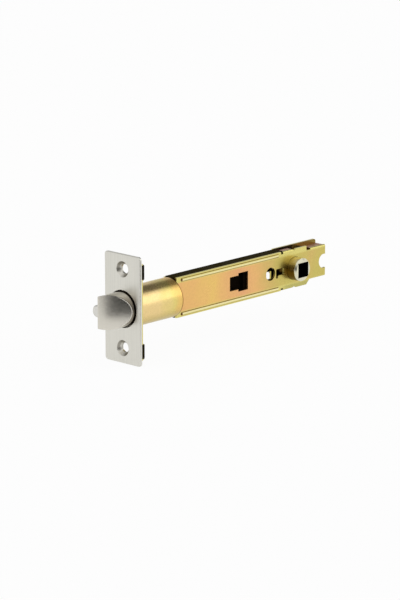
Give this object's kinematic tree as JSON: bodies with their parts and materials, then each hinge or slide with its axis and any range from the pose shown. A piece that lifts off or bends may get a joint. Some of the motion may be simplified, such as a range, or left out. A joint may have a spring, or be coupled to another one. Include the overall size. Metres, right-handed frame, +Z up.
{
  "type": "tubular door latch",
  "caption": "Tubular spring latch with a screw-on faceplate, bevelled bolt, guard pin, round barrel and long flat case with a square-drive hub.",
  "frame": {"origin": "middle of the faceplate's front face, on the latch axis", "axes": "+X runs back into the door along the barrel and case to the hub, +Z is up, -Y is the side that the bolt's bevel faces"},
  "size_m": [0.1671, 0.0254, 0.0572],
  "materials": {
    "stainless": "satin, brushed along its length",
    "gold_zinc": "yellow passivated zinc plate on pressed steel",
    "black_nylon": "moulded black nylon",
    "bolt_metal": "satin nickel",
    "hub_metal": "turned and plated",
    "spring_steel": "plain spring steel"
  },
  "bodies": {
    "case": {"faceplate": "stainless", "backplate": "gold_zinc", "barrel_tube": "gold_zinc", "barrel_end_plate": "gold_zinc", "case_near": "gold_zinc", "case_far": "gold_zinc", "liner_top": "black_nylon", "liner_bottom": "black_nylon", "bolt_spring": "spring_steel", "guard_spring": "spring_steel", "deadlock_leaf": "spring_steel"},
    "hub": {"spindle_hub": "hub_metal"},
    "drawbar": {"extension_link": "black_nylon", "retractor": "gold_zinc"},
    "bolt": {"latch_bolt": "bolt_metal", "bolt_tail": "spring_steel", "tail_pin": "spring_steel"},
    "guard": {"guard_pin": "bolt_metal"}
  },
  "joints": [
    {"name": "hub_turn", "type": "hinge", "parent": "case", "child": "hub", "pos_m": [0.127, 0, 0], "axis": [0, 1, 0], "range_deg": [-2, 86], "stiffness_Nm_per_rad": 0.1, "springref_deg": -11.46},
    {"name": "drawbar_slide", "type": "slide", "parent": "case", "child": "drawbar", "axis": [1, 0, 0], "range_m": [0, 0.0122]},
    {"name": "bolt_slide", "type": "slide", "parent": "drawbar", "child": "bolt", "axis": [1, 0, 0], "range_m": [0, 0.012], "stiffness_N_per_m": 300, "springref_m": -0.01, "deforming": ["bolt_spring"]},
    {"name": "guard_slide", "type": "slide", "parent": "case", "child": "guard", "axis": [1, 0, 0], "range_m": [0, 0.0105], "stiffness_N_per_m": 150, "springref_m": -0.008, "deforming": ["guard_spring"]}
  ],
  "couplings": [
    {"joint": "hub_turn", "follows": "drawbar_slide", "rad_per_m": 114.46}
  ]
}
